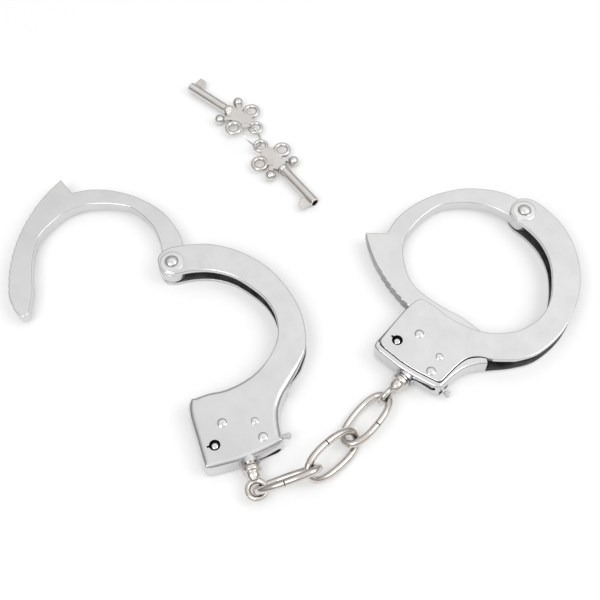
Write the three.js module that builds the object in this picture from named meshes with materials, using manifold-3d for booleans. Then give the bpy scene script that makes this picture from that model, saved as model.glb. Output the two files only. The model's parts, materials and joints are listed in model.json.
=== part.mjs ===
// Swing-arm handcuffs: two cuffs, a chain of three links, and two keys on a wire ring.
// Millimetres, +Z up. The set lies on the plane Z = 0, and its box is centred on X = Y = 0.
//
// Each cuff is drawn in its own frame: the jaw's pivot is the origin, the lock is towards -Y,
// Z = 0 is the middle of the thickness, and the pressed shell is on the +Z side.
import * as THREE from 'three'
import { mergeVertices } from 'three/addons/utils/BufferGeometryUtils.js'
import Module from 'manifold-3d'

const wasm = await Module()
wasm.setup()

// ---------------------------------------------------------------- driving dimensions
const CHEEK = 1.8 // thickness of each cheek
const GAP = 5.6 // space between the two cheeks
const CUFF_HEIGHT = 2 * CHEEK + GAP
const HALF = CUFF_HEIGHT / 2
const INSIDE = GAP / 2
const JAW_THICKNESS = 5.0
const FIT = 0.12 // radial clearance of a rivet in its hole
const EASE = 0.05 // clearance under a rivet's head
const SHELL_ROUND = 1.2 // rounding of the shell's outer edge

const SWING_RADIUS = 67.4 // pivot to the tips of the jaw's teeth
const TOOTH_PITCH = 3 // degrees
const TOOTH_DEPTH = 0.6
const FIRST_TOOTH = -25 // degrees from straight down, towards +X
const TOOTH_COUNT = 13

const SPUR_ANGLE = -39.6 // the jaw's outer edge starts here, behind its teeth

const PIVOT = [0, 0]
const PAWL_PIN = [4.6, -74.6]
const SPRING_PIN = [16.6, -77]
const LEVER_PIN = [18.1, -84]
const PIVOT_SHANK = 2.2
const PIN_SHANK = 1.5
const SPRING_PIN_SHANK = 1.2
const KEY_POST = [0, -82.5]
const KEY_HOLE_RADIUS = 2.15
const KEY_POST_RADIUS = 1.3
const KEY_SLOT = 3.1 // the key's slot, from the post's axis

const PAWL_REST = -5 // degrees from full mesh, so that the resting pawl clears the teeth
const PAWL_THICKNESS = 4.8
const LEVER_BOTTOM = 0.4
const LEVER_TOP = 2.4
const LEVER_KNOB = [27.6, -84.9]
const LEVER_HUB_RADIUS = 2.9

const SWIVEL_X = 11.2
const SHANK_RADIUS = 1.9
const EYE = { y: -101.6, radius: 3.45, wire: 1.1 }

const LINK = { halfLength: 12.25, halfWidth: 5.75, power: 2.35, wire: 1.5, seam: 0.3 }

const KEY = {
  height: 2.6,
  thickness: 1.8,
  tip: 39.3,
  barrel: 2.3,
  collar: 2.6,
  ball: 2.4,
  bore: 1.6,
  boreDepth: 9,
}
const KEY_RING = { at: [-19.12, 87.99, 5.36], lean: 49.8, turn: 11.1, radius: 6.31, wire: 0.4 }

// where each piece lies: middle of the cuff's pivot, turn about Z in degrees, angle of the jaw
const LEFT = { x: -51.99, y: 20.12, turn: 13, jaw: -105.5, eyeTurn: 0 }
const RIGHT = { x: 95.49, y: 39.13, turn: -44.7, jaw: 0, eyeTurn: 90 }
const LINKS = [
  { at: [-6.77, -73.96, 7.95], yaw: 12.4, pitch: -17.6, roll: 117.9 },
  { at: [10.12, -64.76, 6.31], yaw: 42.2, pitch: 8.9, roll: 46.8 },
  { at: [23.45, -50.23, 4.49], yaw: 49.9, pitch: 1.2, roll: 154.5 },
]
const KEYS = [
  { at: [-17.3, 93.7], turn: 139.3 },
  { at: [-15.1, 83.3], turn: -54 },
]

// ---------------------------------------------------------------- helpers
const radians = THREE.MathUtils.degToRad

// Point at an angle measured from straight down about the jaw's pivot, counter-clockwise.
function aroundPivot(radius, angle) {
  return [radius * Math.sin(radians(angle)), -radius * Math.cos(radians(angle))]
}

// A closed outline from runs of points: a run is smooth, and its ends are corners.
function outline(runs, detail = 2) {
  const shape = new THREE.Shape()
  shape.moveTo(...runs[0][0])
  for (const run of runs) {
    const points = run.map((p) => new THREE.Vector2(...p))
    if (points.length === 2) shape.lineTo(...run[1])
    else for (const p of new THREE.SplineCurve(points).getPoints(detail * (run.length - 1)).slice(1)) {
      shape.lineTo(p.x, p.y)
    }
  }
  return shape
}

function solid(geometry) {
  const plain = geometry.index ? geometry.toNonIndexed() : geometry.clone()
  plain.deleteAttribute('normal')
  plain.deleteAttribute('uv')
  const merged = mergeVertices(plain, 1e-5)
  return new wasm.Manifold(new wasm.Mesh({
    numProp: 3,
    vertProperties: new Float32Array(merged.attributes.position.array),
    triVerts: new Uint32Array(merged.index.array),
  }))
}

function toGeometry(body) {
  const mesh = body.getMesh()
  const geometry = new THREE.BufferGeometry()
  geometry.setAttribute('position', new THREE.BufferAttribute(new Float32Array(mesh.vertProperties), 3))
  geometry.setIndex(new THREE.BufferAttribute(new Uint32Array(mesh.triVerts), 1))
  return geometry
}

// The same body with its +Z side turned into its -Z side.
function mirrored(geometry) {
  const copy = geometry.clone().scale(1, 1, -1)
  const index = copy.index.array
  for (let i = 0; i < index.length; i += 3) [index[i], index[i + 1]] = [index[i + 1], index[i]]
  return copy
}

function slab(shape, low, high) {
  return solid(new THREE.ExtrudeGeometry(shape, { depth: high - low, bevelEnabled: false })
    .translate(0, 0, low))
}

// A plate whose long edges are rounded on both faces, inside the outline it is given.
function roundedSlab(shape, low, high, radius, segments) {
  return solid(new THREE.ExtrudeGeometry(shape, {
    depth: high - low - 2 * radius,
    bevelThickness: radius,
    bevelSize: radius,
    bevelOffset: -radius,
    bevelSegments: segments,
  }).translate(0, 0, low + radius))
}

function drum([x, y], radius, low, high, sides = 16) {
  return solid(new THREE.CylinderGeometry(radius, radius, high - low, sides)
    .rotateX(Math.PI / 2).translate(x, y, (low + high) / 2))
}

// A flat bar with round ends between two points.
function bar([x0, y0], [x1, y1], width, low, high) {
  const length = Math.hypot(x1 - x0, y1 - y0)
  const middle = solid(new THREE.BoxGeometry(length, width, high - low)
    .rotateZ(Math.atan2(y1 - y0, x1 - x0))
    .translate((x0 + x1) / 2, (y0 + y1) / 2, (low + high) / 2))
  const end = (x, y) => drum([x, y], width / 2, low, high, 10)
  return middle.add(end(x0, y0)).add(end(x1, y1))
}

// A cylinder along Y on the swivel's axis.
function drumAlongY(radius, y0, y1) {
  return solid(new THREE.CylinderGeometry(radius, radius, y1 - y0, 16)
    .translate(SWIVEL_X, (y0 + y1) / 2, 0))
}

function block(x0, x1, y0, y1, z0, z1) {
  return solid(new THREE.BoxGeometry(x1 - x0, y1 - y0, z1 - z0)
    .translate((x0 + x1) / 2, (y0 + y1) / 2, (z0 + z1) / 2))
}

// A turned body about Z from [radius, height] pairs that start and end on the axis.
function turned(profile, sides) {
  return solid(new THREE.LatheGeometry(profile.map((p) => new THREE.Vector2(...p)), sides)
    .rotateX(Math.PI / 2))
}

const finishes = {
  nickel: { color: 0xdcdcdc, roughness: 0.22, metalness: 1 },
  bright: { color: 0xe4e2de, roughness: 0.16, metalness: 1 },
  steel: { color: 0xb4b2ae, roughness: 0.35, metalness: 1 },
  keyMetal: { color: 0xd2d0c8, roughness: 0.3, metalness: 1 },
}

function piece(name, body, finish) {
  const geometry = body.isBufferGeometry ? body : toGeometry(body)
  const mesh = new THREE.Mesh(geometry, new THREE.MeshStandardMaterial(finishes[finish]))
  mesh.name = name
  return mesh
}

// ---------------------------------------------------------------- outlines of a cuff
// the arm from the pivot's round end along its outer edge, then the neck down to the lock
const ARM_OUTER = [[-5.6, -0.8], [-4.9, 4.1], [0.5, 7.1], [12, 6], [21, 2.6], [30, -3.9], [37.8, -13.3],
  [43, -25], [45.3, -37.5], [43.8, -50], [39.3, -58.2], [33.5, -65.3], [29.6, -69.6], [26.9, -74.5],
  [25.7, -80], [25.4, -84.6]]
const LOCK_CORNER = [[25.4, -84.6], [24.9, -87.1], [22.6, -88.4]]
const LOCK_BOTTOM = [[22.6, -88.4], [15, -90], [8, -90.9], [1, -91], [-3, -91]]
const LOCK_HEEL = [[-3, -91], [-5.2, -90.2], [-6, -88]]
const LOCK_LEFT = [[-6, -88], [-6.5, -78], [-7, -68.5], [-6.4, -63.6], [-4.6, -61.4]]
const WRIST_EDGE = [[-4.6, -61.4], [2, -60.7], [8.5, -60.9], [15.5, -59.6], [22.3, -56.9], [28.3, -52.3],
  [33, -45.6], [35, -37], [33.6, -28.6], [29.4, -20.9], [22.8, -13.2], [15, -8.4], [7.5, -6.4], [0, -6]]
const ARM_END = [[0, -6], [-3.9, -4.4], [-5.6, -0.8]]

const FRAME_OUTLINE = outline([
  ARM_OUTER,
  LOCK_CORNER,
  LOCK_BOTTOM,
  LOCK_HEEL,
  LOCK_LEFT,
  WRIST_EDGE,
  ARM_END,
])

// the flat cover follows the arm, drops inside the shell's walls and lies on the wall beside the mouth
const COVER_OUTLINE = outline([
  ARM_OUTER.slice(0, 11),
  [[39.3, -58.2], [33.2, -63.6], [28, -66.6], [25, -70.4], [24, -76], [23.8, -84.3]],
  [[23.8, -84.3], [23.2, -85.5], [21.9, -85.9]],
  [[21.9, -85.9], [15, -87.5], [8, -88.4], [1, -88.5], [-2.2, -88.5]],
  [[-2.2, -88.5], [-3.8, -88], [-5, -86.9]],
  [[-5, -86.9], [-5.9, -78], [-6.4, -69], [-5.9, -63.8], [-4.6, -61.4]],
  WRIST_EDGE,
  ARM_END,
])

// everything under the shell's face that isn't its wall: the lock's room, the mouth and the arm's gap
const HOLLOW_OUTLINE = outline([
  [[-12, -68.5], [-5.7, -68.5]],
  [[-5.7, -68.5], [-5.2, -78], [-4.6, -86.6]],
  [[-4.6, -86.6], [-4, -88.4], [-2.2, -88.9]],
  [[-2.2, -88.9], [1, -88.9], [8, -88.8], [15, -87.9], [22, -86.3]],
  [[22, -86.3], [23.6, -85.8], [24.1, -84.3]],
  [[24.1, -84.3], [24.3, -76], [25.4, -70.6], [28.3, -66.95], [30.6, -65.5]],
  [[30.6, -65.5], [35, -69.5]],
  [[35, -69.5], [60, -69.5]],
  [[60, -69.5], [60, 20]],
  [[60, 20], [-12, 20]],
  [[-12, 20], [-12, -68.5]],
])

// ---------------------------------------------------------------- pieces of a cuff
const LOCK_PINS = [
  { name: 'pivot_rivet', at: PIVOT, shank: PIVOT_SHANK, head: 3.1, dome: 1.5 },
  { name: 'pawl_rivet', at: PAWL_PIN, shank: PIN_SHANK, head: 1.9, dome: 0.55 },
  { name: 'spring_rivet', at: SPRING_PIN, shank: SPRING_PIN_SHANK, head: 1.5, dome: 0.4 },
  { name: 'lever_rivet', at: LEVER_PIN, shank: PIN_SHANK, head: 1.9, dome: 0.55 },
]

// Holes through a cheek. The key goes in at the cheek that faces up, and the post is staked in the other.
function drilled(cheek, facesUp) {
  let body = cheek
  for (const pin of LOCK_PINS) body = body.subtract(drum(pin.at, pin.shank + FIT, -HALF - 1, HALF + 1))
  if (!facesUp) return body.subtract(drum(KEY_POST, KEY_POST_RADIUS + FIT, -HALF - 1, HALF + 1))
  const [x, y] = KEY_POST
  const slot = block(x - KEY_SLOT, x, y - 0.5, y + 0.5, -HALF - 1, HALF + 1)
  return body.subtract(drum(KEY_POST, KEY_HOLE_RADIUS, -HALF - 1, HALF + 1).add(slot))
}

function shellCheek(facesUp) {
  const skin = roundedSlab(FRAME_OUTLINE, -HALF - 2 * SHELL_ROUND, HALF, SHELL_ROUND, 2)
    .subtract(block(-20, 60, -100, 20, -HALF - 3 * SHELL_ROUND, -HALF))
  const hollow = slab(HOLLOW_OUTLINE, -HALF - 1, INSIDE)
  const coverSeat = block(-12, 0, -88, -60, -HALF - 1, EASE - INSIDE)
  const swivelHole = drumAlongY(SHANK_RADIUS + 0.3, -93, -87)
  const lockSlot = block(SWIVEL_X, 22.6, -93, -86, -3.4, -0.9)
  const leverDoor = block(23.6, 28, -86.7, -82.1, LEVER_BOTTOM - 0.4, LEVER_TOP + 0.3)
  const openings = hollow.add(coverSeat).add(swivelHole).add(lockSlot).add(leverDoor)
  return drilled(skin.subtract(openings), facesUp)
}

function coverCheek(facesUp) {
  return drilled(slab(COVER_OUTLINE, -HALF, -INSIDE), facesUp)
}

const JAW_EYE = [[-2.9, -5], ...[10, 50, 90, 130, 170].map((angle) => aroundPivot(5.8, angle))]
const JAW_BACK = [[-4.4, 4.9], [-12.5, 3.1], [-20, -1], [-27.5, -7.6], [-34, -18], [-37.3, -28.5],
  [-37.9, -38], [-36.2, -46.2]]
const JAW_TIP = [[aroundPivot(66, 19), aroundPivot(64.3, 22.3)],
  [aroundPivot(64.3, 22.3), aroundPivot(62.6, 23.2), aroundPivot(60.8, 22.3)]]
const JAW_INNER = [[11.3, -56.3], [4, -57.7], [-3.5, -58.4], [-10.8, -58], [-15.8, -56.2], [-20.8, -52.7],
  [-25.8, -48], [-29.2, -41.7], [-30.3, -35], [-30.2, -28], [-28.6, -20.4], [-25, -15.3], [-19.8, -10.4],
  [-13.5, -7], [-7.5, -5.2], [-2.9, -5]]

function jaw() {
  const heel = []
  for (let angle = SPUR_ANGLE; angle < FIRST_TOOTH; angle += 3) {
    heel.push(aroundPivot(SWING_RADIUS, angle))
  }
  const teeth = []
  for (let i = 0; i < TOOTH_COUNT; i++) {
    const angle = FIRST_TOOTH + i * TOOTH_PITCH
    teeth.push(aroundPivot(SWING_RADIUS, angle))
    teeth.push(aroundPivot(SWING_RADIUS - TOOTH_DEPTH, angle + TOOTH_PITCH))
  }
  const edge = [JAW_BACK.at(-1), ...heel, ...teeth, JAW_TIP[0][0]]
  const straight = edge.slice(1).map((point, i) => [edge[i], point])
  const shape = outline([
    [...JAW_EYE, ...JAW_BACK],
    ...straight,
    ...JAW_TIP,
    [JAW_TIP[1][2], JAW_INNER[0]],
    JAW_INNER,
  ])
  return slab(shape, -JAW_THICKNESS / 2, JAW_THICKNESS / 2)
    .subtract(drum(PIVOT, PIVOT_SHANK + FIT, -HALF, HALF))
}

// The sprung rocker that holds the jaw: an arm with three teeth, a tail for the key, a leg for the lever.
// It is drawn in mesh with the closed jaw and then turned back to where it rests.
function pawl() {
  const [x, y] = PAWL_PIN
  const root = SWING_RADIUS + FIT
  const teeth = [8, 11, 14].flatMap((angle) => [
    aroundPivot(root, angle + 0.1),
    aroundPivot(root - 0.8 * TOOTH_DEPTH, angle + 2.4),
    aroundPivot(root, angle + 2.87),
  ])
  const top = [[7.4, -70.3], [9.3, -67.2], ...teeth, [20.8, -64.9], [21.8, -66.6]]
  const shape = outline([
    [[1.4, -73.4], [2.6, -71.8], [4.9, -71.3], [7.4, -70.3]],
    ...top.slice(1).map((point, i) => [top[i], point]),
    [[21.8, -66.6], [21.2, -68.8], [14, -71.2], [10.5, -72.6], [8, -74.9], [7.3, -77.5], [7.2, -80.2]],
    [[7.2, -80.2], [6.4, -80.9], [5.6, -80.2], [5.3, -78.4], [4.3, -77.7], [0.5, -77.4], [-2.7, -77.9]],
    [[-2.7, -77.9], [-3.7, -77.2], [-3.2, -76.3], [-0.6, -75.7], [1.2, -74.8], [1.4, -73.4]],
  ])
  return slab(shape, -PAWL_THICKNESS / 2, PAWL_THICKNESS / 2)
    .subtract(drum(PAWL_PIN, PIN_SHANK + FIT, -HALF, HALF))
    .translate([-x, -y, 0])
}

// A leaf that hooks round its rivet and stands ready under the pawl's arm.
function pawlSpring() {
  const hook = drum(SPRING_PIN, 2, -2, 2, 14).subtract(drum(SPRING_PIN, 1.45, -3, 3, 14))
  return hook.add(bar([15.6, -75.2], [12.2, -74], 0.5, -2, 2))
}

function releaseLever() {
  const [x, y] = LEVER_PIN
  return drum(LEVER_PIN, LEVER_HUB_RADIUS, LEVER_BOTTOM, LEVER_TOP, 18)
    .add(bar(LEVER_PIN, [8.1, -79.75], 2, LEVER_BOTTOM, LEVER_TOP))
    .add(bar(LEVER_PIN, LEVER_KNOB, 1.5, LEVER_BOTTOM, LEVER_TOP))
    .add(drum(LEVER_KNOB, 1.05, LEVER_BOTTOM - 0.2, LEVER_TOP + 0.2, 12))
    .subtract(drum(LEVER_PIN, PIN_SHANK + FIT, -HALF, HALF))
    .translate([-x, -y, 0])
}

// The rivet's far end is peened flush, so that the cuff lies flat on it.
function rivet({ shank, head, dome }) {
  const seat = HALF + EASE
  const crown = [1, 0.75, 0].map((part) => [head * part, seat + dome * Math.sqrt(1 - part * part)])
  return turned([[0, -HALF], [shank, -HALF], [shank, seat], [head, seat], ...crown.slice(1)], 14)
}

function keyPost() {
  const top = HALF - 0.7
  const shoulder = [KEY_POST_RADIUS, top - 0.3]
  return turned([[0, -HALF], [KEY_POST_RADIUS, -HALF], shoulder, [0.9, top], [0, top]], 14)
}

// Head, shank, collar, neck and eye in one piece, along the lock's axis, with its eye in the plane Z = 0.
function swivel() {
  const profile = [[0, -86.4], [2.1, -86.4], [2.5, -86.8], [2.5, -88.1], [SHANK_RADIUS, -88.1],
    [SHANK_RADIUS, -91], [2.8, -91], [3.1, -91.4], [3.1, -92.5], [3.7, -92.9], [3.7, -94.3],
    [3.3, -94.7], [2.6, -94.8], [2.5, -96.6], [2, -98], [0, -98]]
  const points = profile.toReversed().map((p) => new THREE.Vector2(...p))
  const eye = solid(new THREE.TorusGeometry(EYE.radius, EYE.wire, 8, 18).translate(0, EYE.y, 0))
  return solid(new THREE.LatheGeometry(points, 12)).add(eye)
}

// ---------------------------------------------------------------- chain
// An oval that starts and ends at the seam in the middle of one long side.
class LinkPath extends THREE.Curve {
  getPoint(t) {
    const { halfLength, halfWidth, power, seam } = LINK
    const seamHalf = Math.PI / 2 - Math.acos((seam / 2 / halfLength) ** (power / 2))
    const angle = Math.PI / 2 + seamHalf + t * 2 * (Math.PI - seamHalf)
    const bulge = (value) => Math.sign(value) * Math.abs(value) ** (2 / power)
    return new THREE.Vector3(halfLength * bulge(Math.cos(angle)), halfWidth * bulge(Math.sin(angle)), 0)
  }
}

function chainLink() {
  const section = new THREE.Shape().absarc(0, 0, LINK.wire, 0, 2 * Math.PI)
  return solid(new THREE.ExtrudeGeometry(section, {
    steps: 34,
    curveSegments: 4,
    extrudePath: new LinkPath(),
  }))
}

// ---------------------------------------------------------------- keys
// Flat on Z = 0, from the end ring at the origin to the barrel's tip along +X.
function key() {
  const { thickness, tip, barrel, collar, bore, boreDepth } = KEY
  const half = thickness / 2
  const ring = (x, y, radius, wire) => solid(new THREE.TorusGeometry(radius, wire, 6, 14)
    .translate(x, y, 0))
  const along = (radius, x0, x1) => solid(new THREE.CylinderGeometry(radius, radius, x1 - x0, 12)
    .rotateZ(-Math.PI / 2).translate((x0 + x1) / 2, 0, 0))
  const side = [[2.2, 1.2], [4.6, 3.3], [9.8, 3.3], [12.6, 4], [16.4, 1.6]]
  const edge = [...side, ...side.map(([x, y]) => [x, -y]).toReversed()]
  const web = slab(new THREE.Shape(edge.map((p) => new THREE.Vector2(...p))), -half, half)
  let body = web.add(ring(0, 0, 2.75, 0.85)).add(along(collar, 15.6, 17.2)).add(along(barrel, 17, tip))
  for (const y of [-1, 1]) {
    body = body.add(ring(7.7, y * 6.2, 3, 1.05))
      .add(bar([12, y * 3], [15.5, y * 5.8], 2, -half, half))
      .add(solid(new THREE.SphereGeometry(KEY.ball, 10, 6).translate(15.9, y * 6.4, 0)))
  }
  const bit = block(tip - 5.1, tip - 0.5, -6.4, -1.2, -0.8, 0.8)
    .subtract(block(tip - 6, tip - 3.7, -7, -5, -1, 1))
  return body.add(bit).subtract(along(bore, tip - boreDepth, tip + 1))
}

// The wire ring leans over, so that it passes down through both keys' end rings.
function keyRing() {
  const { at, lean, turn, radius, wire } = KEY_RING
  const mesh = piece('key_ring', solid(new THREE.TorusGeometry(radius, wire, 6, 24)), 'keyMetal')
  mesh.position.set(...at)
  mesh.rotation.set(0, radians(lean), radians(turn), 'ZYX')
  return mesh
}

// ---------------------------------------------------------------- the assembly
function cuff(prefix, place, shellUp) {
  const group = new THREE.Group()
  group.position.set(place.x, place.y, HALF)
  group.rotation.z = radians(place.turn)
  const turnedOver = (body) => shellUp ? body : mirrored(toGeometry(body))
  const add = (name, body, finish, at = [0, 0], turn = 0) => {
    const mesh = piece(`${prefix}_${name}`, body, finish)
    mesh.position.set(...at, 0)
    mesh.rotation.z = radians(turn)
    group.add(mesh)
    return mesh
  }
  add('shell_cheek', turnedOver(shellCheek(shellUp)), 'nickel')
  add('cover_cheek', turnedOver(coverCheek(!shellUp)), 'nickel')
  add('jaw', jaw(), 'nickel', PIVOT, place.jaw)
  for (const pin of LOCK_PINS) add(pin.name, rivet(pin), 'bright', pin.at)
  add('key_post', keyPost(), 'bright', KEY_POST)
  add('pawl', pawl(), 'steel', PAWL_PIN, PAWL_REST)
  add('pawl_spring', pawlSpring(), 'steel')
  add('release_lever', turnedOver(releaseLever()), 'steel', LEVER_PIN)
  const eye = add('swivel', swivel(), 'bright', [SWIVEL_X, 0])
  eye.rotation.y = radians(place.eyeTurn)
  return group
}

const handcuffs = new THREE.Group()
handcuffs.add(cuff('left', LEFT, true), cuff('right', RIGHT, false))

LINKS.forEach(({ at, yaw, pitch, roll }, i) => {
  const link = piece(`chain_link_${i + 1}`, chainLink(), 'bright')
  link.position.set(...at)
  link.rotation.set(radians(roll), radians(pitch), radians(yaw), 'ZYX')
  handcuffs.add(link)
})

KEYS.forEach(({ at, turn }, i) => {
  const mesh = piece(`key_${i + 1}`, key(), 'keyMetal')
  mesh.position.set(...at, KEY.height)
  mesh.rotation.z = radians(turn)
  handcuffs.add(mesh)
})
handcuffs.add(keyRing())

// the whole set is centred over the origin
const middle = new THREE.Box3().setFromObject(handcuffs, true).getCenter(new THREE.Vector3())
handcuffs.position.set(-middle.x, -middle.y, 0)

export default handcuffs
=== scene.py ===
"""Swing-arm handcuffs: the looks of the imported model, built on its frame."""
import json
import math

import bmesh
import bpy
import numpy as np
from mathutils import Matrix, Vector


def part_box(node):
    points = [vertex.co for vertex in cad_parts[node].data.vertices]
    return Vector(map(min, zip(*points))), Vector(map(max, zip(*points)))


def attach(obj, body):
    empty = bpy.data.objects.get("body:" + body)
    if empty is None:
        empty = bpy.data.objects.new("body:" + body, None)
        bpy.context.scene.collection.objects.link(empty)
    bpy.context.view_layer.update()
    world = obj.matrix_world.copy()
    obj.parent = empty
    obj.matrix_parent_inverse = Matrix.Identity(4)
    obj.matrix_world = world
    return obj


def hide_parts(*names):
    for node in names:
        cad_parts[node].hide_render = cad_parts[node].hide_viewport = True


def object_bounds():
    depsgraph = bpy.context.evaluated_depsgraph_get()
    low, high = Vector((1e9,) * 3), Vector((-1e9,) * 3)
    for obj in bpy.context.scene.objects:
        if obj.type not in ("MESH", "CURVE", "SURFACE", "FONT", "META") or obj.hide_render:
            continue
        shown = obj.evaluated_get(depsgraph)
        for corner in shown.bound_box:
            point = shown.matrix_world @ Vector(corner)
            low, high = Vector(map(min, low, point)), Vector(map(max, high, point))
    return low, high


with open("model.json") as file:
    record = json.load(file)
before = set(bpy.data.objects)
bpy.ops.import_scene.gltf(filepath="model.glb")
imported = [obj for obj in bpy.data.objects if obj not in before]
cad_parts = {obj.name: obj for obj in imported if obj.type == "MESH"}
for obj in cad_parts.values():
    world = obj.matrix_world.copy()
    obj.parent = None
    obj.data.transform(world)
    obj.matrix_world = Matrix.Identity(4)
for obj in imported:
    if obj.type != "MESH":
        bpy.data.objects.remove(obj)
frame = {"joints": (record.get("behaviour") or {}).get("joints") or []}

cad_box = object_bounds()
MM = 0.001
JOINTS = {joint["name"]: joint for joint in frame["joints"]}

# ---------------------------------------------------------------- dimensions of a cuff, in millimetres
# Each cuff is drawn in its own frame: the jaw's pivot is the origin and the lock is towards -Y.
HALF = 4.6  # half the thickness of a cuff
INSIDE = 2.8  # half the gap between the cheeks
THROUGH = HALF + 1  # cutters reach this far, past both faces
POLISH = 0.03  # taken off the edge of every plate, which keeps it inside the CAD outline
JAW_THICKNESS = 5.0
SWING_RADIUS = 67.4  # pivot to the tips of the jaw's teeth
TOOTH_PITCH = 3  # degrees
TOOTH_DEPTH = 0.35
FIRST_TOOTH = -25  # degrees from straight down
TOOTH_COUNT = 13
SPUR_ANGLE = -39.6  # the jaw's outer edge starts here
PIVOT = (0, 0)
PAWL_PIN = (4.6, -74.6)
PAWL_REST = -5  # degrees, turned back from the jaw
PAWL_TEETH = (8, 11, 14)  # degrees
SPRING_PIN = (16.6, -77)
SPRING_COIL = 1.72  # radius of the turn round its rivet
SPRING_THICKNESS = 0.5
LEVER_PIN = (18.1, -84)
LEVER_TAIL = (8.1, -79.75)
LEVER_KNOB = (27.6, -84.9)
LEVER_LEVELS = (0.4, 2.4)
KEY_POST = (0, -82.5)
POST_RADIUS = 1.3
KEYHOLE_RADIUS = 2.15
KEY_SLOT = 3.0  # reach of the slot beside the keyhole
PIVOT_SHANK = 2.2
PIN_SHANK = 1.5
SPRING_PIN_SHANK = 1.2
SHANK_PLAY = 0.12  # round each rivet
SWIVEL_X = 11.2
SWIVEL_SEAT = 4.0  # radius of the pressed seat
SWIVEL_HOLE = 2.2
EYE = {"y": -101.6, "radius": 3.45, "wire": 1.1}
LINK = {"length": 12.25, "width": 5.7, "power": 2.35, "wire": 1.44, "seam": 0.3}
KEY = {
    "tip": 39.3, "barrel": 2.3, "bore": 1.6, "bore_depth": 9,
    "collar": 2.6, "collar_span": (15.6, 17.2),
    "end_ring": (2.75, 0.85),  # radius and wire
    "side_ring": (7.7, 6.2, 3, 1.05),  # x, y, radius and wire
    "ball": (15.9, 6.4, 2.4),  # x, y and radius
    "bit": 6.4, "half_thickness": 0.8,
}

LEFT = {"turn": 13, "jaw": -105.5, "eye": 0, "shell_up": True}
RIGHT = {"turn": -44.7, "jaw": 0, "eye": 90, "shell_up": False}
LINK_TURNS = [(12.4, -17.6, 117.9), (42.2, 8.9, 46.8), (49.9, 1.2, 154.5)]  # yaw, pitch and roll
KEY_TURNS = [139.3, -54]  # where each barrel points
KEY_RING = {"lean": 49.8, "turn": 11.1, "radius": 6.31, "wire": 0.4}


# ---------------------------------------------------------------- outlines, as runs that meet in corners
def around_pivot(radius, angle):
    a = math.radians(angle)
    return (radius * math.sin(a), -radius * math.cos(a))


ARM_OUTER = [(-5.6, -0.8), (-4.9, 4.1), (0.5, 7.1), (12, 6), (21, 2.6), (30, -3.9), (37.8, -13.3),
             (43, -25), (45.3, -37.5), (43.8, -50), (39.3, -58.2), (33.5, -65.3), (29.6, -69.6),
             (26.9, -74.5), (25.7, -80), (25.4, -84.6)]
LOCK_CORNER = [(25.4, -84.6), (24.9, -87.1), (22.6, -88.4)]
LOCK_BOTTOM = [(22.6, -88.4), (15, -90), (8, -90.9), (1, -91), (-3, -91)]
LOCK_HEEL = [(-3, -91), (-5.2, -90.2), (-6, -88)]
LOCK_LEFT = [(-6, -88), (-6.5, -78), (-7, -68.5), (-6.4, -63.6), (-4.6, -61.4)]
WRIST_EDGE = [(-4.6, -61.4), (2, -60.7), (8.5, -60.9), (15.5, -59.6), (22.3, -56.9), (28.3, -52.3),
              (33, -45.6), (35, -37), (33.6, -28.6), (29.4, -20.9), (22.8, -13.2), (15, -8.4),
              (7.5, -6.4), (0, -6)]
ARM_END = [(0, -6), (-3.9, -4.4), (-5.6, -0.8)]
FRAME_RUNS = [ARM_OUTER, LOCK_CORNER, LOCK_BOTTOM, LOCK_HEEL, LOCK_LEFT, WRIST_EDGE, ARM_END]
COVER_RUNS = [
    ARM_OUTER[:11],
    [(39.3, -58.2), (33.2, -63.6), (28, -66.6), (25, -70.4), (24, -76), (23.8, -84.3)],
    [(23.8, -84.3), (23.2, -85.5), (21.9, -85.9)],
    [(21.9, -85.9), (15, -87.5), (8, -88.4), (1, -88.5), (-2.2, -88.5)],
    [(-2.2, -88.5), (-3.8, -88), (-5, -86.9)],
    [(-5, -86.9), (-5.9, -78), (-6.4, -69), (-5.9, -63.8), (-4.6, -61.4)],
    WRIST_EDGE,
    ARM_END,
]
HOLLOW_RUNS = [
    [(-12, -68.5), (-5.7, -68.5)],
    [(-5.7, -68.5), (-5.2, -78), (-4.6, -86.6)],
    [(-4.6, -86.6), (-4, -88.4), (-2.2, -88.9)],
    [(-2.2, -88.9), (1, -88.9), (8, -88.8), (15, -87.9), (22, -86.3)],
    [(22, -86.3), (23.6, -85.8), (24.1, -84.3)],
    [(24.1, -84.3), (24.3, -76), (25.4, -70.6), (28.3, -66.95), (30.6, -65.5)],
    [(30.6, -65.5), (35, -69.5)],
    [(35, -69.5), (60, -69.5)],
    [(60, -69.5), (60, 20)],
    [(60, 20), (-12, 20)],
    [(-12, 20), (-12, -68.5)],
]
JAW_EYE = [(-2.9, -5)] + [around_pivot(5.8, angle) for angle in (10, 50, 90, 130, 170)]
JAW_BACK = [(-4.4, 4.9), (-12.5, 3.1), (-20, -1), (-27.5, -7.6), (-34, -18), (-37.3, -28.5),
            (-37.9, -38), (-36.2, -46.2)]
JAW_TIP_START = around_pivot(66, 19)
JAW_TIP = [around_pivot(64.3, 22.3), around_pivot(62.6, 23.2), around_pivot(60.8, 22.3)]
JAW_INNER = [(11.3, -56.3), (4, -57.7), (-3.5, -58.4), (-10.8, -58), (-15.8, -56.2),
             (-20.8, -52.7), (-25.8, -48), (-29.2, -41.7), (-30.3, -35), (-30.2, -28),
             (-28.6, -20.4), (-25, -15.3), (-19.8, -10.4), (-13.5, -7), (-7.5, -5.2), (-2.9, -5)]


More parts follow.
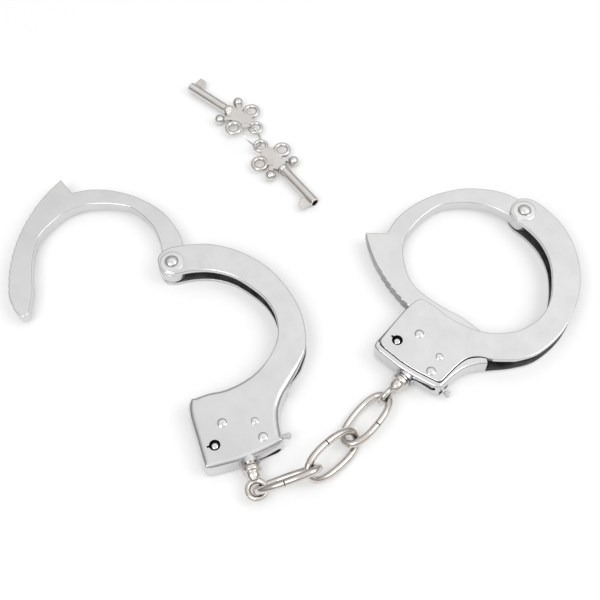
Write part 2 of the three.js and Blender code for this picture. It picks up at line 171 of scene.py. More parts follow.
def smooth_run(points, detail=10):
    """A smooth curve through the points, or a straight line where there are two."""
    if len(points) == 2:
        return [Vector(points[0])]
    p = [Vector(q) for q in points]
    out = []
    for i in range(len(p) - 1):
        a, b, c, d = p[max(i - 1, 0)], p[i], p[i + 1], p[min(i + 2, len(p) - 1)]
        u, v = (c - a) / 2, (d - b) / 2
        for k in range(detail):
            t = k / detail
            out.append((2 * b - 2 * c + u + v) * t**3 + (3 * c - 3 * b - 2 * u - v) * t**2 + u * t + b)
    return out


def closed_loop(runs, spacing=0.4, passes=2):
    """The runs as one evenly spaced, counter-clockwise loop, its corners softened a little."""
    raw = np.array([tuple(p) for run in runs for p in smooth_run(run)])
    if np.sum(raw[:, 0] * np.roll(raw[:, 1], -1) - raw[:, 1] * np.roll(raw[:, 0], -1)) < 0:
        raw = raw[::-1]
    closed = np.vstack([raw, raw[:1]])
    reach = np.concatenate([[0], np.cumsum(np.linalg.norm(np.diff(closed, axis=0), axis=1))])
    count = max(12, int(reach[-1] / spacing))
    at = np.linspace(0, reach[-1], count, endpoint=False)
    loop = np.stack([np.interp(at, reach, closed[:, k]) for k in (0, 1)], 1)
    for _ in range(passes):
        loop = (np.roll(loop, 1, 0) + 2 * loop + np.roll(loop, -1, 0)) / 4
    return loop


def inward(loop):
    """The direction into the outline at each of its points."""
    along = np.roll(loop, -1, 0) - np.roll(loop, 1, 0)
    along /= np.linalg.norm(along, axis=1)[:, None]
    return np.stack([-along[:, 1], along[:, 0]], 1)


def room_inside(loop, inner):
    """Radius of the largest circle that touches the loop at each point from the inside."""
    apart = loop[None] - loop[:, None]
    depth = np.einsum("ijk,ik->ij", apart, inner)
    square = np.einsum("ijk,ijk->ij", apart, apart)
    with np.errstate(divide="ignore", invalid="ignore"):
        radius = np.where(depth > 1e-6, square / (2 * depth), np.inf)
    return radius.min(1)


# ---------------------------------------------------------------- meshes
def object_of(bm, name):
    bmesh.ops.recalc_face_normals(bm, faces=bm.faces[:])
    mesh = bpy.data.meshes.new(name)
    bm.to_mesh(mesh)
    bm.free()
    obj = bpy.data.objects.new(name, mesh)
    bpy.context.scene.collection.objects.link(obj)
    return obj


def skin_rings(rings, name, closed=True):
    """Quads between rings of equally many points, and a cap on each end, unless the rings close."""
    bm = bmesh.new()
    grid = [[bm.verts.new(p) for p in ring] for ring in rings]
    n = len(grid[0])
    for a, b in zip(grid, grid[1:]):
        for i in range(n):
            bm.faces.new((a[i], a[(i + 1) % n], b[(i + 1) % n], b[i]))
    if closed:
        bm.faces.new(grid[0])
        bm.faces.new(grid[-1])
    else:
        for i in range(n):
            bm.faces.new((grid[-1][i], grid[-1][(i + 1) % n], grid[0][(i + 1) % n], grid[0][i]))
    return object_of(bm, name)


def plate(name, loop, low, high, round_low, round_high, steps):
    """A plate with rounded edges. Each radius is a number or a function of the outline's points."""
    inner = inward(loop)
    loop = loop + POLISH * inner
    room = room_inside(loop, inner)

    def radii(wanted):
        r = wanted(loop) if callable(wanted) else np.full(len(loop), float(wanted))
        r = np.minimum(r, 0.75 * room)
        for _ in range(4):
            r = np.minimum(r, (np.roll(r, 1) + 2 * r + np.roll(r, -1)) / 4 + 1e-9)
        return np.maximum(r, 0.01)

    def ring(depth, z):
        p = loop + inner * np.minimum(depth, 0.9 * room)[:, None]
        return np.column_stack([p, np.broadcast_to(z, len(loop))])

    rings = []
    r = radii(round_low)
    rings.append(ring(r + 0.15, np.full(len(loop), low)))
    for k in range(steps, -1, -1):
        a = math.pi / 2 * k / steps
        rings.append(ring(r * (1 - math.cos(a)), low + r * (1 - math.sin(a))))
    rings.append(ring(0 * r, low + r + 0.1))
    r = radii(round_high)
    rings.append(ring(0 * r, high - r - 0.1))
    for k in range(steps + 1):
        a = math.pi / 2 * k / steps
        rings.append(ring(r * (1 - math.cos(a)), high - r * (1 - math.sin(a))))
    rings.append(ring(r + 0.15, np.full(len(loop), high)))
    return skin_rings(rings, name)


def prism(loop, low, high, name="cutter"):
    return skin_rings([[(*p, low) for p in loop], [(*p, high) for p in loop]], name)


def disc_loop(x, y, radius, sides=64):
    turn = [2 * math.pi * k / sides for k in range(sides)]
    return [(x + radius * math.cos(a), y + radius * math.sin(a)) for a in turn]


def drum(at, radius, low, high, sides=64):
    return prism(disc_loop(*at, radius, sides), low, high)


def block(x0, x1, y0, y1, z0, z1):
    return prism([(x0, y0), (x1, y0), (x1, y1), (x0, y1)], z0, z1)


def drum_along_y(x, radius, y0, y1, sides=48):
    obj = drum((0, 0), radius, y0, y1, sides)
    obj.data.transform(Matrix.Translation((x, 0, 0)) @ Matrix.Rotation(-math.pi / 2, 4, "X"))
    return obj


def lathe(name, profile, sides=72):
    """A turned body about Z from (radius, height) pairs that start and end on the axis."""
    bm = bmesh.new()
    foot = bm.verts.new((0, 0, profile[0][1]))
    top = bm.verts.new((0, 0, profile[-1][1]))
    turn = [2 * math.pi * k / sides for k in range(sides)]
    rings = [[bm.verts.new((r * math.cos(a), r * math.sin(a), z)) for a in turn]
             for r, z in profile[1:-1]]
    for i in range(sides):
        j = (i + 1) % sides
        bm.faces.new((foot, rings[0][j], rings[0][i]))
        bm.faces.new((top, rings[-1][i], rings[-1][j]))
        for a, b in zip(rings, rings[1:]):
            bm.faces.new((a[i], a[j], b[j], b[i]))
    return object_of(bm, name)


def tube(name, points, radius, sides, closed=False, end_round=0.22):
    """A round bar along a path that lies level, with softened ends."""
    across = Vector((0, 0, 1))
    points = [Vector(p) for p in points]
    n = len(points)
    turn = [2 * math.pi * k / sides for k in range(sides)]

    def circle(i, r, shift=0.0):
        before = points[i - 1] if closed or i else points[0]
        after = points[(i + 1) % n] if closed or i < n - 1 else points[i]
        along = (after - before).normalized()
        side = along.cross(across).normalized()
        middle = points[i] + along * shift
        return [middle + side * (r * math.cos(a)) + across * (r * math.sin(a)) for a in turn]

    if closed:
        return skin_rings([circle(i, radius) for i in range(n)], name, closed=False)
    ends = [(end_round * (1 - math.cos(a)), radius - end_round * (1 - math.sin(a)))
            for a in np.linspace(0, math.pi / 2, 5)]
    rings = [circle(0, r, back) for back, r in ends]
    rings += [circle(i, radius) for i in range(1, n - 1)]
    rings += [circle(n - 1, r, -back) for back, r in reversed(ends)]
    return skin_rings(rings, name)


def ball(at, radius):
    bm = bmesh.new()
    bmesh.ops.create_icosphere(bm, subdivisions=4, radius=radius, matrix=Matrix.Translation(at))
    return object_of(bm, "ball")


def drop(obj):
    mesh = obj.data
    bpy.data.objects.remove(obj)
    bpy.data.meshes.remove(mesh)


def settle(obj):
    """The mesh as its modifiers leave it, with the modifiers gone."""
    bpy.context.view_layer.update()
    done = obj.evaluated_get(bpy.context.evaluated_depsgraph_get())
    mesh = bpy.data.meshes.new_from_object(done)
    old = obj.data
    obj.modifiers.clear()
    obj.data = mesh
    mesh.name = obj.name
    bpy.data.meshes.remove(old)
    return obj


def combine(obj, others, operation="DIFFERENCE"):
    """Cuts the other meshes out of this one, or joins them to it."""
    for other in others:
        mod = obj.modifiers.new("combine", "BOOLEAN")
        mod.operation = operation
        mod.solver = "EXACT"
        mod.object = other
    settle(obj)
    for other in others:
        drop(other)
    return obj


def fused(name, parts, voxel, smoothing):
    """The parts grown into one casting, with a small fillet wherever they meet."""
    bm = bmesh.new()
    for part in parts:
        bm.from_mesh(part.data)
        drop(part)
    obj = object_of(bm, name)
    mod = obj.modifiers.new("grow", "REMESH")
    mod.mode = "VOXEL"
    mod.voxel_size = voxel
    soften = obj.modifiers.new("soften", "SMOOTH")
    soften.factor = 0.5
    soften.iterations = smoothing
    return settle(obj)


def softened(obj, width):
    """The mesh with its sharp edges rounded."""
    mod = obj.modifiers.new("edges", "BEVEL")
    mod.width = width
    mod.segments = 2
    mod.limit_method = "ANGLE"
    mod.angle_limit = math.radians(40)
    mod.use_clamp_overlap = True
    return settle(obj)


def looks_inside():
    """Tells which faces look into the lock's room or the gap between the cheeks."""
    rim = closed_loop(FRAME_RUNS, 0.8)

    def chosen(face):
        x, y, z = face.center
        if abs(face.normal.z) > 0.9:
            return abs(abs(z) - INSIDE) < 0.1
        if abs(face.normal.z) >= 0.5 or y >= -64 or not -HALF + 0.3 < z < INSIDE - 0.1:
            return False
        return np.hypot(rim[:, 0] - x, rim[:, 1] - y).min() > 1.0

    return chosen


def is_cut_edge(face):
    """Tells which faces of the jaw are on the edge that the teeth are cut in."""
    reach = math.hypot(face.center.x, face.center.y)
    return abs(face.normal.z) < 0.6 and reach > SWING_RADIUS - 2 * TOOTH_DEPTH - 0.3


def placed(obj, matrix, body, nodes, material, second=None):
    """Moves a finished piece, made in millimetres, to its place and hangs it on its body."""
    obj.data.materials.clear()
    obj.data.materials.append(material)
    if second:
        chosen, finish = second
        obj.data.materials.append(finish)
        for face in obj.data.polygons:
            face.material_index = int(chosen(face))
    whole = Matrix.Scale(MM, 4) @ matrix
    obj.data.transform(whole)
    if whole.determinant() < 0:
        obj.data.flip_normals()
    obj.data.shade_smooth()
    obj.data.set_sharp_from_angle(angle=math.radians(35))
    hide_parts(*nodes)
    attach(obj, body)


# ---------------------------------------------------------------- materials
def nickel(name, color, tint, rough, grain=(700, 700, 700), scratch=0.02, wave=0.0, corner_shade=0.0):
    """Nickel plate: uneven gloss, hairline scratches, a slight waviness, and painted shade in its corners.
    """
    mat = bpy.data.materials.new(name)
    mat.use_nodes = True
    tree = mat.node_tree
    nodes, links = tree.nodes, tree.links
    shader = nodes["Principled BSDF"]
    shader.inputs["Metallic"].default_value = 1.0
    place = nodes.new("ShaderNodeTexCoord")

    def noise(scale, detail, stretch=(1, 1, 1), turn=0.0):
        mapping = nodes.new("ShaderNodeMapping")
        mapping.inputs["Scale"].default_value = stretch
        mapping.inputs["Rotation"].default_value = (0, 0, turn)
        links.new(place.outputs["Object"], mapping.inputs["Vector"])
        tex = nodes.new("ShaderNodeTexNoise")
        tex.inputs["Scale"].default_value = scale
        tex.inputs["Detail"].default_value = detail
        links.new(mapping.outputs["Vector"], tex.inputs["Vector"])
        return tex.outputs["Fac"]

    def ramp(source, low, high, at=(0.35, 0.65)):
        node = nodes.new("ShaderNodeValToRGB")
        node.color_ramp.elements[0].position = at[0]
        node.color_ramp.elements[1].position = at[1]
        node.color_ramp.elements[0].color = low
        node.color_ramp.elements[1].color = high
        links.new(source, node.inputs["Fac"])
        return node.outputs["Color"]

    def grey(value):
        return (value, value, value, 1)

    base = ramp(noise(90, 3), (*color, 1), (*tint, 1))
    # painted shade: an ambient-occlusion mask darkens the colour in corners, gaps and hollows
    if corner_shade:
        hollow = nodes.new("ShaderNodeAmbientOcclusion")
        hollow.inputs["Distance"].default_value = 0.0025
        hollow.samples = 4
        shade_multiply = nodes.new("ShaderNodeMixRGB")
        shade_multiply.blend_type = "MULTIPLY"
        shade_multiply.inputs["Fac"].default_value = 1.0
        links.new(base, shade_multiply.inputs["Color1"])
        shade_ramp = ramp(hollow.outputs["AO"], grey(1 - corner_shade), grey(1.0), (0.25, 0.75))
        links.new(shade_ramp, shade_multiply.inputs["Color2"])
        base = shade_multiply.outputs["Color"]
    links.new(base, shader.inputs["Base Color"])

    blotch = ramp(noise(230, 4), grey(rough * 0.75), grey(rough * 1.3))
    hair = ramp(noise(1, 2, grain, 0.5), grey(0.0), grey(scratch), (0.6, 0.75))
    gloss = nodes.new("ShaderNodeMath")
    gloss.operation = "ADD"
    links.new(blotch, gloss.inputs[0])
    links.new(hair, gloss.inputs[1])
    links.new(gloss.outputs[0], shader.inputs["Roughness"])

    fine = nodes.new("ShaderNodeBump")
    fine.inputs["Strength"].default_value = 0.12
    fine.inputs["Distance"].default_value = 0.00003
    links.new(noise(1, 3, grain, 0.5), fine.inputs["Height"])
    last = fine
    if wave:
        sway = nodes.new("ShaderNodeBump")
        sway.inputs["Strength"].default_value = wave
        sway.inputs["Distance"].default_value = 0.0003
        links.new(noise(70, 1), sway.inputs["Height"])
        links.new(fine.outputs["Normal"], sway.inputs["Normal"])
        last = sway
    links.new(last.outputs["Normal"], shader.inputs["Normal"])
    return mat


# every finish below except the inside and the lock steel darkens its corners with painted shade
PLATE = nickel("polished_nickel", (0.65, 0.65, 0.655), (0.69, 0.69, 0.69), 0.19,
               (2600, 160, 900), 0.05, 0.05, 0.55)
JAW = nickel("jaw_nickel", (0.65, 0.65, 0.65), (0.69, 0.69, 0.685), 0.17,
             (200, 2400, 900), 0.05, 0.05, 0.4)
RIVET = nickel("rivet_nickel", (0.69, 0.69, 0.69), (0.74, 0.74, 0.73), 0.15, corner_shade=0.3)
# inside of the lock and the gap between the cheeks: rough, with a near-black colour as painted shade
SHADE_PAINTED_INSIDE = nickel("unpolished_inside_painted_shade", (0.15, 0.15, 0.15), (0.23, 0.228, 0.225), 0.45,
               (900, 900, 900), 0.1)
STEEL = nickel("lock_steel", (0.52, 0.51, 0.50), (0.62, 0.61, 0.59), 0.38, (1500, 300, 900), 0.08)
WARM = nickel("chain_nickel", (0.64, 0.59, 0.55), (0.72, 0.685, 0.65), 0.15, corner_shade=0.7)
CAST = nickel("key_nickel", (0.65, 0.61, 0.58), (0.71, 0.70, 0.68), 0.22, (1800, 1800, 1800),
              0.06, 0.25, 0.6)
WIRE = nickel("ring_wire", (0.66, 0.63, 0.59), (0.74, 0.72, 0.69), 0.2, corner_shade=0.5)
CUT = nickel("cut_teeth", (0.30, 0.30, 0.295), (0.40, 0.40, 0.39), 0.35,
             (900, 900, 900), 0.1, corner_shade=0.5)


# ---------------------------------------------------------------- pieces of a cuff
PINS = [  # name, place, and the radius of the shank, the radius of the head and its height
    ("pivot_rivet", PIVOT, PIVOT_SHANK, 3.1, 1.5),
    ("pawl_rivet", PAWL_PIN, PIN_SHANK, 1.9, 0.55),
    ("spring_rivet", SPRING_PIN, SPRING_PIN_SHANK, 1.5, 0.4),
    ("lever_rivet", LEVER_PIN, PIN_SHANK, 1.9, 0.55),
]


def hole_cutters(faces_up):
    """The rivets' holes, and the key post's hole or, on the cheek that faces up, the keyhole."""
    cutters = [drum(at, shank + SHANK_PLAY, -THROUGH, THROUGH) for _, at, shank, _, _ in PINS]
    if not faces_up:
        return cutters + [drum(KEY_POST, POST_RADIUS + SHANK_PLAY, -THROUGH, THROUGH)]
    x, y = KEY_POST
    slot = block(x - KEY_SLOT, x, y - 0.4, y + 0.4, -THROUGH, THROUGH)
    return cutters + [drum(KEY_POST, KEYHOLE_RADIUS, -THROUGH, THROUGH), slot]


def lock_share(points, start=-52, end=-66):
    """0 on the arm and 1 on the lock, with a smooth change between them."""
    t = np.clip((points[:, 1] - start) / (end - start), 0, 1)
    return t * t * (3 - 2 * t)


def shell_cheek(name, faces_up):
    """The pressed cheek with the lock's walls, hollowed out from below."""
    skin = plate(name, closed_loop(FRAME_RUNS), -HALF, HALF,
                 lambda p: 0.25 + 0.7 * lock_share(p), lambda p: 0.6 + 2.2 * lock_share(p), 9)
    combine(skin, [drum_along_y(SWIVEL_X, SWIVEL_SEAT, -91.5, -84)], "UNION")
    hollow = prism(closed_loop(HOLLOW_RUNS, 0.5, 0), -THROUGH, INSIDE)
    # the wall on the mouth's side ends under the cover
    cover_seat = block(-12, 0, -88, -60, -THROUGH, 0.05 - INSIDE)
    swivel_hole = drum_along_y(SWIVEL_X, SWIVEL_HOLE, -94, -86)
    # a slot along the bottom wall, widest at the corner
    slot = prism([(SWIVEL_X + 1, -2.0), (18, -2.9), (20.8, -3.5), (22.6, -3.7), (23.5, -3.1), (23.8, -2.1),
                  (23.3, -1.0), (22.2, -0.5), (20.8, -0.8), (18, -1.4), (SWIVEL_X + 1, -1.6)], 85, 95)
    slot.data.transform(Matrix.Rotation(math.pi / 2, 4, "X"))
    # the opening that the lever's bar comes out of
    door = block(22.4, 28, -86.7, -82.1, 0.0, 2.7)
    combine(skin, [hollow, cover_seat, swivel_hole, slot, door, *hole_cutters(faces_up)])
    return skin


def cover_cheek(name, faces_up):
    """The flat cheek that closes the lock."""
    body = plate(name, closed_loop(COVER_RUNS), -HALF, -INSIDE, 0.4, 0.15, 4)
    return combine(body, hole_cutters(faces_up))


def jaw(name):
    """The swinging arm, with its teeth and the spur behind them."""
    heel = [around_pivot(SWING_RADIUS, a) for a in np.arange(SPUR_ANGLE, FIRST_TOOTH, 3)]
    teeth = []
    for i in range(TOOTH_COUNT):
        a = FIRST_TOOTH + i * TOOTH_PITCH
        teeth.append(around_pivot(SWING_RADIUS, a))
        teeth.append(around_pivot(SWING_RADIUS - TOOTH_DEPTH, a + TOOTH_PITCH))
    edge = [JAW_BACK[-1], *heel, *teeth, JAW_TIP_START, JAW_TIP[0]]
    straight = [[a, b] for a, b in zip(edge, edge[1:])]
    runs = [JAW_EYE + JAW_BACK, *straight, JAW_TIP, [JAW_TIP[-1], JAW_INNER[0]], JAW_INNER]
    half = JAW_THICKNESS / 2
    body = plate(name, closed_loop(runs, 0.25, 1), -half, half, 0.45, 0.45, 4)
    return combine(body, [drum(PIVOT, PIVOT_SHANK + SHANK_PLAY, -HALF, HALF)])


def pawl(name):
    """The sprung rocker, drawn in mesh with the closed jaw."""
    root = SWING_RADIUS + 0.12
    teeth = []
    for a in PAWL_TEETH:
        teeth += [around_pivot(root, a + 0.1), around_pivot(root - 0.8 * TOOTH_DEPTH, a + 2.4),
                  around_pivot(root, a + 2.87)]
    top = [(7.4, -70.3), (9.3, -67.2), *teeth, (20.8, -64.9), (21.8, -66.6)]
    runs = [
        [(1.4, -73.4), (2.6, -71.8), (4.9, -71.3), (7.4, -70.3)],
        *[[a, b] for a, b in zip(top, top[1:])],
        [(21.8, -66.6), (21.2, -68.8), (14, -71.2), (10.5, -72.6), (8, -74.9), (7.3, -77.5),
         (7.2, -80.2)],
        [(7.2, -80.2), (6.4, -80.9), (5.6, -80.2), (5.3, -78.4), (4.3, -77.7), (0.5, -77.4),
         (-2.7, -77.9)],
        [(-2.7, -77.9), (-3.7, -77.2), (-3.2, -76.3), (-0.6, -75.7), (1.2, -74.8), (1.4, -73.4)],
    ]
    body = plate(name, closed_loop(runs, 0.2, 1), -2.4, 2.4, 0.2, 0.2, 3)
    return combine(body, [drum(PAWL_PIN, PIN_SHANK + SHANK_PLAY, -HALF, HALF)])


def leaf_spring(name):
    """A strip bent round its rivet, with a straight leg that ends beside the pawl."""
    x, y = SPRING_PIN
    path = [(x + SPRING_COIL * math.cos(a), y + SPRING_COIL * math.sin(a))
            for a in np.radians(np.linspace(-170, 119, 40))]
    path += [(15.76 + (12.2 - 15.76) * t, -75.5 + 1.5 * t) for t in np.linspace(0.1, 1, 12)]
    p = np.array(path)
    along = np.gradient(p, axis=0)
    along /= np.linalg.norm(along, axis=1)[:, None]
    side = np.stack([-along[:, 1], along[:, 0]], 1) * SPRING_THICKNESS / 2
    loop = np.vstack([p - side, (p + side)[::-1]])
    return softened(prism(loop, -2, 2, name), 0.06)


def release_lever(name):
    """A hub with a tail that the pawl pushes and a bar to the knob outside the lock."""
    low, high = LEVER_LEVELS

    def arm(a, b, width):
        a, b = Vector(a), Vector(b)
        side = (b - a).normalized().orthogonal() * width / 2
        return prism([a + side, a - side, b - side, b + side], low, high)

    parts = [
        drum(LEVER_PIN, 2.9, low, high),
        arm(LEVER_PIN, LEVER_TAIL, 2.0), drum(LEVER_TAIL, 1.0, low, high),
        arm(LEVER_PIN, LEVER_KNOB, 1.5), drum(LEVER_KNOB, 1.05, low - 0.2, high + 0.2),
    ]
    body = fused(name, parts, 0.13, 4)
    return combine(body, [drum(LEVER_PIN, PIN_SHANK + SHANK_PLAY, -HALF, HALF)])


def rivet(name, at, shank, head, dome, boss=0.0):
    """A rivet with a low dome, which can sit on a flat boss of the given radius."""
    seat = HALF + 0.05
    profile = [(0, -HALF), (shank - 0.25, -HALF), (shank, -HALF + 0.2), (shank, seat)]
    if boss:
        profile += [(boss - 0.15, seat - 0.04), (boss, seat), (boss - 0.1, seat + 0.08),
                    (boss - 0.4, seat + 0.12), (head + 0.1, seat + 0.14)]
        seat += 0.14
    foot = 0.12 * head
    profile += [(head, seat), (head - 0.35 * foot, seat + 0.02), (head - 0.8 * foot, seat + 0.08)]
    for k in range(1, 10):
        a = math.pi / 2 * k / 10
        profile.append(((head - foot) * math.cos(a), seat + 0.1 + (dome - 0.1) * math.sin(a)))
    profile.append((0, seat + dome))
    obj = lathe(name, profile)
    obj.data.transform(Matrix.Translation((*at, 0)))
    return obj


def key_post(name):
    top = HALF - 0.7
    profile = [(0, -HALF), (POST_RADIUS, -HALF), (POST_RADIUS, top - 0.45), (1.22, top - 0.2),
               (1.0, top - 0.05), (0.7, top), (0, top)]
    obj = lathe(name, profile, 48)
    obj.data.transform(Matrix.Translation((*KEY_POST, 0)))
    return obj


def swivel(name):
    """The turned stem, with its collar outside the shell, and the ring that the chain hangs on."""
    profile = [(0, -98.4), (1.8, -98.4), (2.0, -98), (2.4, -97.2), (2.7, -96.4), (2.8, -94.8),
               (3.3, -94.7), (3.6, -94.5), (3.7, -94.2), (3.7, -93.0), (3.6, -92.8), (3.15, -92.6),
               (3.1, -92.2), (3.1, -91.4), (3.0, -91.1), (2.8, -91), (1.9, -91), (1.9, -88.1),
               (2.5, -88.1), (2.5, -86.8), (2.1, -86.4), (0, -86.4)]
    stem = lathe("stem", profile, 64)
    stem.data.transform(Matrix.Rotation(-math.pi / 2, 4, "X"))
    turn = [2 * math.pi * k / 72 for k in range(72)]
    ring = tube("eye", [(EYE["radius"] * math.cos(a), EYE["y"] + EYE["radius"] * math.sin(a), 0)
                        for a in turn], EYE["wire"], 24, closed=True)
    return fused(name, [stem, ring], 0.14, 5)


# ---------------------------------------------------------------- chain, keys and their ring
def chain_link(name):
    """A rounded oblong bent from wire, with a seam where its ends meet."""
    a, b, power, gap = LINK["length"], LINK["width"], LINK["power"], LINK["seam"]

    def bulge(value):
        return math.copysign(abs(value) ** (2 / power), value)

    raw = [Vector((a * bulge(math.cos(t)), b * bulge(math.sin(t)), 0))
           for t in np.linspace(math.pi / 2, 2.5 * math.pi, 1441)]
    reach = np.concatenate([[0], np.cumsum([(q - p).length for p, q in zip(raw, raw[1:])])])
    at = np.linspace(gap / 2, reach[-1] - gap / 2, 150)
    points = np.stack([np.interp(at, reach, [p[k] for p in raw]) for k in range(3)], 1)
    return tube(name, points, LINK["wire"], 28)


def key(name):
    """A cast key along X: an end ring, two side rings and two balls, then a collar, a barrel and a bit."""
    tip, barrel, collar = KEY["tip"], KEY["barrel"], KEY["collar"]
    low, high = KEY["collar_span"]
    half = KEY["half_thickness"]
    ring_x, ring_y, ring_radius, ring_wire = KEY["side_ring"]
    ball_x, ball_y, ball_radius = KEY["ball"]

    def ring(x, y, radius, wire):
        turn = [2 * math.pi * k / 64 for k in range(64)]
        return tube("ring", [(x + radius * math.cos(a), y + radius * math.sin(a), 0) for a in turn],
                    wire, 20, closed=True)

    def along_x(profile):
        obj = lathe("turned", [(r, x) for r, x in profile], 48)
        obj.data.transform(Matrix.Rotation(math.pi / 2, 4, "Y"))
        return obj

    side = [(2.2, 1.2), (4.6, 3.3), (9.8, 3.3), (12.6, 4), (16.4, 1.6)]
    web = prism(side[::-1] + [(x, -y) for x, y in side], -half, half)
    parts = [web, ring(0, 0, *KEY["end_ring"]),
             along_x([(0, low), (collar - 0.2, low), (collar, low + 0.2),
                      (collar, high - 0.2), (collar - 0.2, high), (0, high)]),
             along_x([(0, 16), (barrel, 16), (barrel, tip - 0.2), (barrel - 0.2, tip), (0, tip)])]
    for y in (-1, 1):
        parts.append(ring(ring_x, y * ring_y, ring_radius, ring_wire))
        a, b = Vector((12, y * 3)), Vector((15.5, y * 5.8))
        across = (b - a).normalized().orthogonal()
        parts.append(prism([a + across, a - across, b - across, b + across], -0.9, 0.9))
        parts.append(ball((ball_x, y * ball_y, 0), ball_radius))
    parts.append(block(tip - 3.8, tip - 0.5, -KEY["bit"], -1.2, -half, half))
    parts.append(block(tip - 5.1, tip - 3.4, 1.4 - KEY["bit"], -1.2, -half, half))
    body = fused(name, parts, 0.15, 4)
    bore = drum((0, 0), KEY["bore"], tip - KEY["bore_depth"], tip + 1)
    bore.data.transform(Matrix.Rotation(math.pi / 2, 4, "Y"))
    return combine(body, [bore])


def wire_ring(name):
    turn = [2 * math.pi * k / 144 for k in range(144)]
    radius = KEY_RING["radius"]
    return tube(name, [(radius * math.cos(a), radius * math.sin(a), 0) for a in turn],
                KEY_RING["wire"], 20, closed=True)


# ---------------------------------------------------------------- the assembly
def turned(degrees, axis="Z"):
    return Matrix.Rotation(math.radians(degrees), 4, axis)


def turned_about(point, degrees):
    x, y = point
    return Matrix.Translation((x, y, 0)) @ turned(degrees) @ Matrix.Translation((-x, -y, 0))


def build_cuff(side, place):
    """Every piece of one cuff. The shell, the cover and the lever are turned over with the cuff."""
    pivot = Vector(JOINTS[f"{side}_jaw_swing"]["pos_m"]) / MM
    cuff = Matrix.Translation(pivot) @ turned(place["turn"])
    over = cuff if place["shell_up"] else cuff @ Matrix.Diagonal((1, 1, -1, 1))
    frame_body = f"{side}_frame"

    def add(obj, matrix, body, material, node, second=None):
        placed(obj, matrix, body, [f"{side}_{node}"], material, second)

    # faces looking into the lock and the cheek gap get the finish with painted shade
    inside = (looks_inside(), SHADE_PAINTED_INSIDE)
    add(shell_cheek(f"{side}_shell", place["shell_up"]), over, frame_body, PLATE,
        "shell_cheek", inside)
    add(cover_cheek(f"{side}_cover", not place["shell_up"]), over, frame_body, PLATE,
        "cover_cheek", inside)
    add(jaw(f"{side}_swing_jaw"), cuff @ turned(place["jaw"]), f"{side}_jaw", JAW,
        "jaw", (is_cut_edge, CUT))
    for name, at, shank, head, dome in PINS:
        boss = 4.85 if at == PIVOT else 0.0
        piece = rivet(f"{side}_{name}_head", at, shank, head, dome, boss)
        add(piece, cuff, frame_body, RIVET, name)
    add(key_post(f"{side}_post"), cuff, frame_body, RIVET, "key_post")
    add(pawl(f"{side}_rocker"), cuff @ turned_about(PAWL_PIN, PAWL_REST), f"{side}_pawl",
        STEEL, "pawl")
    add(leaf_spring(f"{side}_leaf"), cuff, frame_body, STEEL, "pawl_spring")
    add(release_lever(f"{side}_lever_arm"), over, f"{side}_lever", STEEL,
        "release_lever")
    spin = cuff @ Matrix.Translation((SWIVEL_X, 0, 0)) @ turned(place["eye"], "Y")
    add(swivel(f"{side}_swivel_eye"), spin, f"{side}_swivel", WARM, "swivel")


def middle(node):
    low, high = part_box(node)
    return (low + high) / 2 / MM


build_cuff("left", LEFT)
build_cuff("right", RIGHT)

for i, (yaw, pitch, roll) in enumerate(LINK_TURNS, 1):
    turn = turned(yaw) @ turned(pitch, "Y") @ turned(roll, "X")
    placed(chain_link(f"link_{i}"), Matrix.Translation(middle(f"chain_link_{i}")) @ turn,
           f"chain_link_{i}", [f"chain_link_{i}"], WARM)

for i, turn in enumerate(KEY_TURNS, 1):
    at = Vector(JOINTS[f"key_{i}_turn"]["pos_m"]) / MM
    placed(key(f"barrel_key_{i}"), Matrix.Translation(at) @ turned(turn), f"key_{i}",
           [f"key_{i}"], CAST)

lean = turned(KEY_RING["turn"]) @ turned(KEY_RING["lean"], "Y")
placed(wire_ring("wire_ring"), Matrix.Translation(middle("key_ring")) @ lean, "key_ring",
       ["key_ring"], WIRE)


# ---------------------------------------------------------------- floor, light and camera
def floor():
    """A plain white surface, a little bright by itself."""
    bm = bmesh.new()
    bmesh.ops.create_grid(bm, x_segments=4, y_segments=4, size=3.0)
    obj = object_of(bm, "floor")
    mat = bpy.data.materials.new("floor_paper")
    mat.use_nodes = True
    shader = mat.node_tree.nodes["Principled BSDF"]
    shader.inputs["Base Color"].default_value = (0.62, 0.62, 0.62, 1)
    shader.inputs["Roughness"].default_value = 0.9
    shader.inputs["Emission Color"].default_value = (1, 1, 1, 1)
    shader.inputs["Emission Strength"].default_value = 0.30
    shader.inputs["Specular IOR Level"].default_value = 0.0
    obj.data.materials.append(mat)


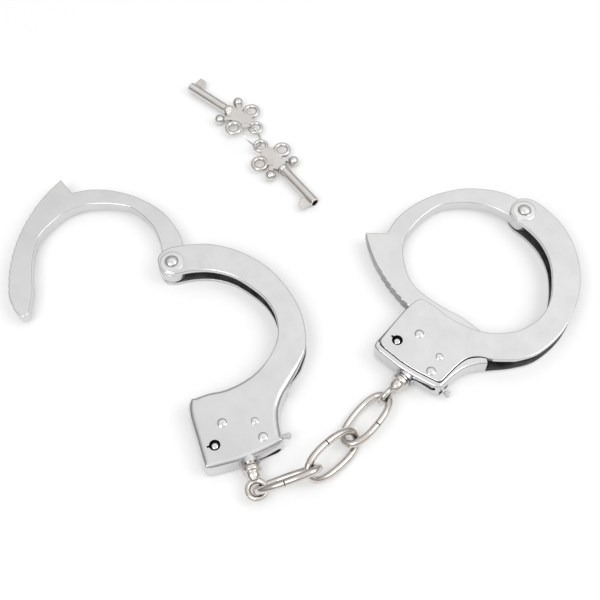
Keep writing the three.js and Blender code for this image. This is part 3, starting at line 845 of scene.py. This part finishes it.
def studio():
    """Soft light from all round, brightest high above."""
    world = bpy.data.worlds.new("studio")
    bpy.context.scene.world = world
    world.use_nodes = True
    nodes, links = world.node_tree.nodes, world.node_tree.links
    place = nodes.new("ShaderNodeTexCoord")
    split = nodes.new("ShaderNodeSeparateXYZ")
    links.new(place.outputs["Generated"], split.inputs["Vector"])
    ramp = nodes.new("ShaderNodeValToRGB")
    stops = [(0.0, 0.28), (0.15, 0.30), (0.40, 0.42), (0.62, 0.66), (0.80, 0.92), (0.88, 0.98),
             (0.95, 0.88), (1.0, 0.86)]
    ramp.color_ramp.elements[0].position = stops[0][0]
    ramp.color_ramp.elements[1].position = stops[-1][0]
    for position, _ in stops[1:-1]:
        ramp.color_ramp.elements.new(position)
    for element, (_, value) in zip(ramp.color_ramp.elements, stops):
        element.color = (value, value, value, 1)
    links.new(split.outputs["Z"], ramp.inputs["Fac"])
    links.new(ramp.outputs["Color"], nodes["Background"].inputs["Color"])
    lean = nodes.new("ShaderNodeMath")  # a little brighter on the right
    lean.operation = "MULTIPLY_ADD"
    lean.inputs[1].default_value = 0.28
    lean.inputs[2].default_value = 1.15
    links.new(split.outputs["X"], lean.inputs[0])
    links.new(lean.outputs[0], nodes["Background"].inputs["Strength"])


def area_light(name, at, power):
    """A round soft light that shines on the middle of the part."""
    light = bpy.data.lights.new(name, "AREA")
    light.shape = "DISK"
    light.size = 0.6
    light.energy = power
    obj = bpy.data.objects.new(name, light)
    obj.location = at
    obj.rotation_mode = "QUATERNION"
    obj.rotation_quaternion = (-Vector(at)).to_track_quat("-Z", "Y")
    bpy.context.scene.collection.objects.link(obj)


def camera():
    """A view from above the near edge, aimed a little in front of the part's middle."""
    low, high = cad_box
    target = Vector(((low.x + high.x) / 2 + 0.0027, (low.y + high.y) / 2 - 0.0215, 2 * HALF * MM))
    elevation = math.radians(60.7)
    distance = 0.3927
    data = bpy.data.cameras.new("camera")
    data.sensor_width = 36
    data.lens = 58.9
    data.clip_start = 0.01
    obj = bpy.data.objects.new("camera", data)
    back = Vector((0, -math.cos(elevation), math.sin(elevation)))
    obj.location = target + back * distance
    obj.rotation_mode = "QUATERNION"
    aim = (-back).to_track_quat("-Z", "Y")
    roll = Matrix.Rotation(math.radians(-2.05), 3, "Z").to_quaternion()
    obj.rotation_quaternion = aim @ roll
    bpy.context.scene.collection.objects.link(obj)
    bpy.context.scene.camera = obj


floor()
studio()
area_light("key_light", (-0.45, -0.5, 0.9), 3.4)
area_light("fill_light", (0.7, -0.1, 0.8), 2.4)
camera()
bpy.context.scene.view_settings.view_transform = "Standard"
